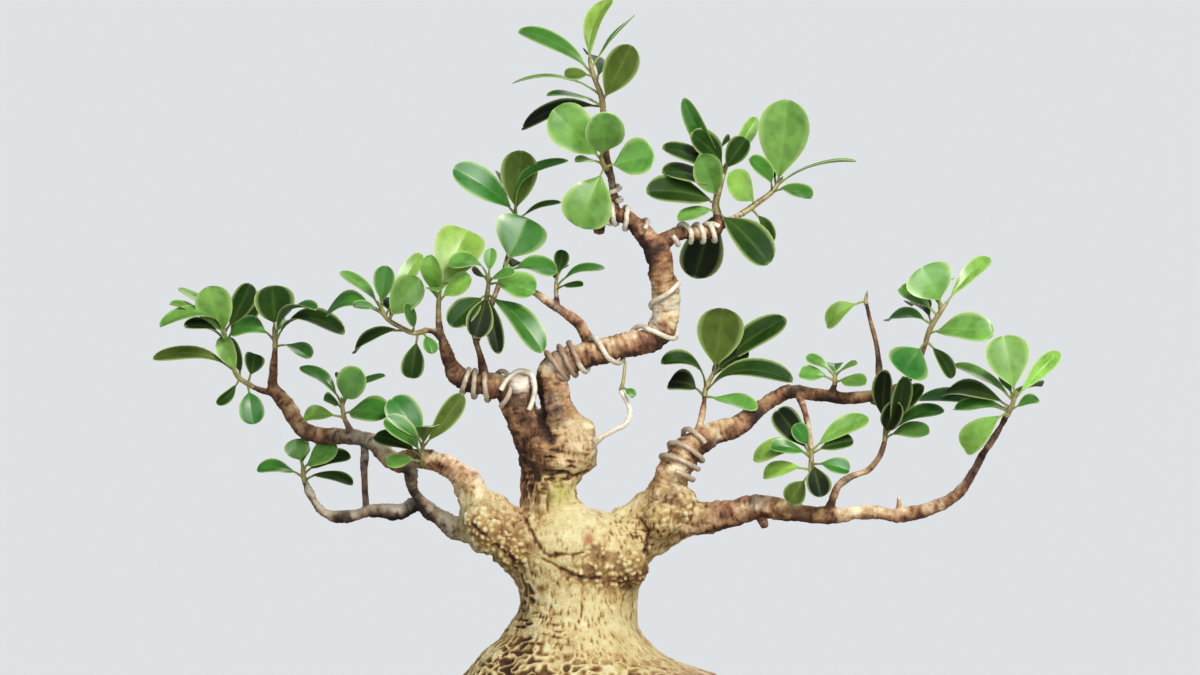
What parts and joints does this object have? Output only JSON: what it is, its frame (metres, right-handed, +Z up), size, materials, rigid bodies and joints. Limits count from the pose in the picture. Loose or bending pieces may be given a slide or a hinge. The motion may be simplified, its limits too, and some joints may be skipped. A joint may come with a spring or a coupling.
{
  "type": "banyan bonsai",
  "caption": "Bonsai banyan tree with a flared trunk, spreading wired branches and sprays of oval leaves, standing in soil in a shallow rectangular pot.",
  "frame": {"origin": "middle of the whole footprint, on the surface the pot stands on", "axes": "+X to the right along the pot's length, as seen from the front; +Y to the back; +Z up"},
  "size_m": [0.455, 0.21, 0.4065],
  "materials": {
    "bark": "rough bark",
    "leaf": "waxy",
    "wire": "satin",
    "clay": "unglazed",
    "soil": "grainy",
    "screen": "matt"
  },
  "bodies": {
    "root": {"pot": "clay", "soil": "soil", "drain_screen_left": "screen", "drain_screen_right": "screen", "tree": "bark", "wire_right_stem": "wire", "wire_left_fork": "wire", "wire_right_fork": "wire", "wire_left_stem": "wire", "wire_right_branch": "wire", "wire_crown": "wire", "wire_stub": "wire", "spray_far_left": "leaf", "spray_far_left_low": "leaf", "spray_left_fan": "leaf", "spray_left_arm": "leaf", "spray_left_low": "leaf", "spray_mid_left": "leaf", "spray_mid_stem": "leaf", "spray_mid": "leaf", "spray_inner_tip": "leaf", "spray_mid_top": "leaf", "spray_inner": "leaf", "spray_crown": "leaf", "spray_crown_round": "leaf", "spray_right_crown": "leaf", "spray_right_crown_tip": "leaf", "spray_right_fan": "leaf", "spray_right_small": "leaf", "spray_right_hanging": "leaf", "spray_right_high": "leaf", "spray_right_single": "leaf", "spray_right_low": "leaf", "spray_far_right": "leaf", "spray_bud": "leaf"}
  },
  "joints": []
}
